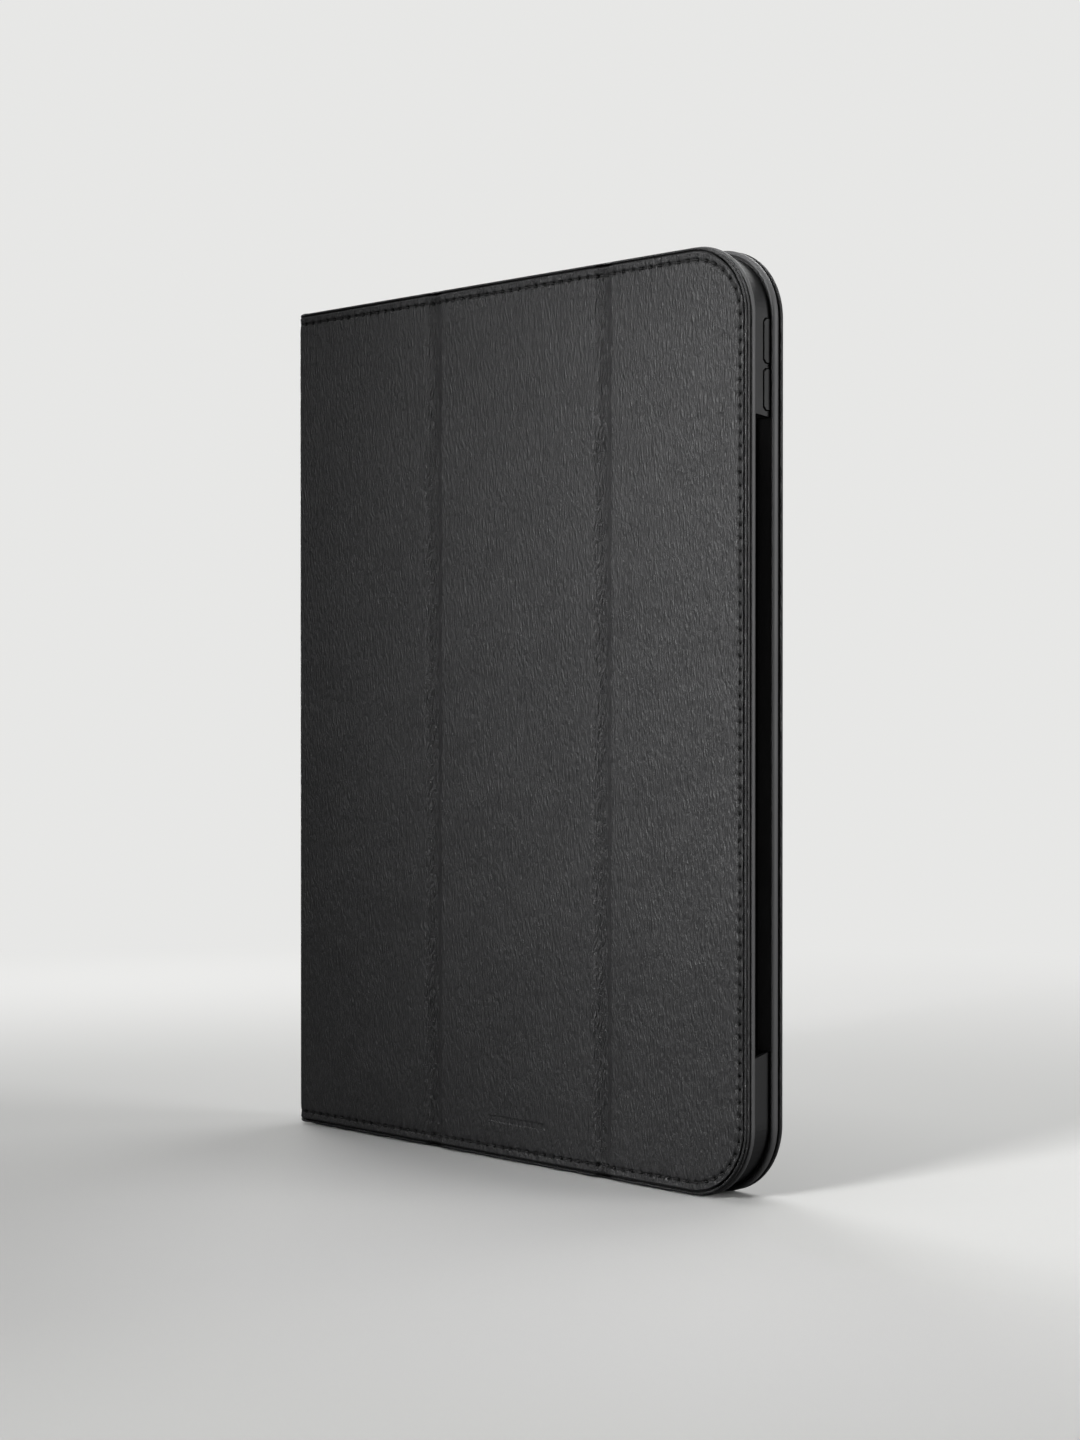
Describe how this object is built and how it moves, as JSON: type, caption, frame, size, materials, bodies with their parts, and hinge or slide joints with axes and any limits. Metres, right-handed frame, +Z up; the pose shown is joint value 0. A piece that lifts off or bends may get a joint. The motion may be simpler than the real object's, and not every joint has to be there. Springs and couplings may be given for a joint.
{
  "type": "folio tablet case",
  "caption": "Leather-covered folio case with a moulded tray that grips a tablet and a hinged front cover that folds into panels to guard the screen or prop the tablet up.",
  "frame": {"origin": "middle of the closed case's bottom edge", "axes": "+Z up the long side of the case, -Y out of the front cover, +Y out of the back cover, +X towards the free edge and -X towards the spine"},
  "size_m": [0.1864, 0.0154, 0.254],
  "materials": {
    "leather": "fine-grained satin black leather",
    "lining": "matt black leather-look lining with turned edges",
    "thread": "matt black polyester thread",
    "board": "grey-brown fibreboard",
    "tray_plastic": "satin black moulded plastic",
    "microfibre": "napped dark grey microfibre",
    "adhesive": "translucent double-sided film",
    "magnet_metal": "nickel-plated",
    "keeper_steel": "thin cold-rolled strip"
  },
  "bodies": {
    "back_cover": {"back_cover_skin": "leather", "back_cover_board": "board", "back_cover_lining": "lining", "back_cover_stitching": "thread", "tray_rim": "tray_plastic", "tray_floor": "tray_plastic", "tray_floor_pad": "microfibre", "tray_adhesive_sheet": "adhesive"},
    "spine": {"spine_skin": "leather", "spine_board": "board", "spine_lining": "lining"},
    "hinge_panel": {"hinge_panel_skin": "leather", "hinge_panel_board": "board", "hinge_panel_lining": "lining", "hinge_panel_stitching_bottom": "thread", "hinge_panel_stitching_top": "thread", "stand_keeper_strip": "keeper_steel"},
    "fold_strip_1": {"fold_strip_1_skin": "leather", "fold_strip_1_lining": "lining"},
    "middle_panel": {"middle_panel_skin": "leather", "middle_panel_board": "board", "middle_panel_lining": "lining", "middle_panel_stitching_bottom": "thread", "middle_panel_stitching_top": "thread"},
    "fold_strip_2": {"fold_strip_2_skin": "leather", "fold_strip_2_lining": "lining"},
    "free_panel": {"free_panel_skin": "leather", "free_panel_board": "board", "free_panel_lining": "lining", "free_panel_stitching": "thread", "closing_magnet_lower": "magnet_metal", "closing_magnet_low_middle": "magnet_metal", "closing_magnet_high_middle": "magnet_metal", "closing_magnet_upper": "magnet_metal", "sleep_wake_magnet": "magnet_metal"},
    "volume_up_button": {"volume_up_pad": "tray_plastic"},
    "volume_down_button": {"volume_down_pad": "tray_plastic"},
    "power_button": {"power_pad": "tray_plastic"}
  },
  "joints": [
    {"name": "spine_opening", "type": "hinge", "parent": "back_cover", "child": "spine", "pos_m": [-0.0919, 0.00635, 0.127], "axis": [0, 0, -1], "range_deg": [0, 180]},
    {"name": "cover_opening", "type": "hinge", "parent": "spine", "child": "hinge_panel", "pos_m": [-0.0919, -0.00635, 0.127], "axis": [0, 0, -1], "range_deg": [0, 180]},
    {"name": "fold_1_inward", "type": "hinge", "parent": "hinge_panel", "child": "fold_strip_1", "pos_m": [-0.0321, -0.0037, 0.127], "axis": [0, 0, 1], "range_deg": [0, 128]},
    {"name": "fold_1_outward", "type": "hinge", "parent": "fold_strip_1", "child": "middle_panel", "pos_m": [-0.0275, -0.0056, 0.127], "axis": [0, 0, 1], "range_deg": [-118, 0]},
    {"name": "fold_2_inward", "type": "hinge", "parent": "middle_panel", "child": "fold_strip_2", "pos_m": [0.038, -0.0037, 0.127], "axis": [0, 0, 1], "range_deg": [0, 128]},
    {"name": "fold_2_outward", "type": "hinge", "parent": "fold_strip_2", "child": "free_panel", "pos_m": [0.0426, -0.0056, 0.127], "axis": [0, 0, 1], "range_deg": [-118, 0]},
    {"name": "volume_up_press", "type": "hinge", "parent": "back_cover", "child": "volume_up_button", "pos_m": [0.09095, 0.00375, 0.22785], "axis": [0, 0, -1], "range_deg": [0, 8]},
    {"name": "volume_down_press", "type": "hinge", "parent": "back_cover", "child": "volume_down_button", "pos_m": [0.09095, 0.00375, 0.21495], "axis": [0, 0, -1], "range_deg": [0, 8]},
    {"name": "power_press", "type": "hinge", "parent": "back_cover", "child": "power_button", "pos_m": [0.0635, 0.00375, 0.25185], "axis": [1, 0, 0], "range_deg": [0, 8]}
  ],
  "couplings": [
    {"joint": "cover_opening", "follows": "spine_opening", "ratio": 1},
    {"joint": "fold_1_inward", "follows": "spine_opening", "ratio": 0.71},
    {"joint": "fold_2_inward", "follows": "spine_opening", "ratio": 0.71}
  ]
}
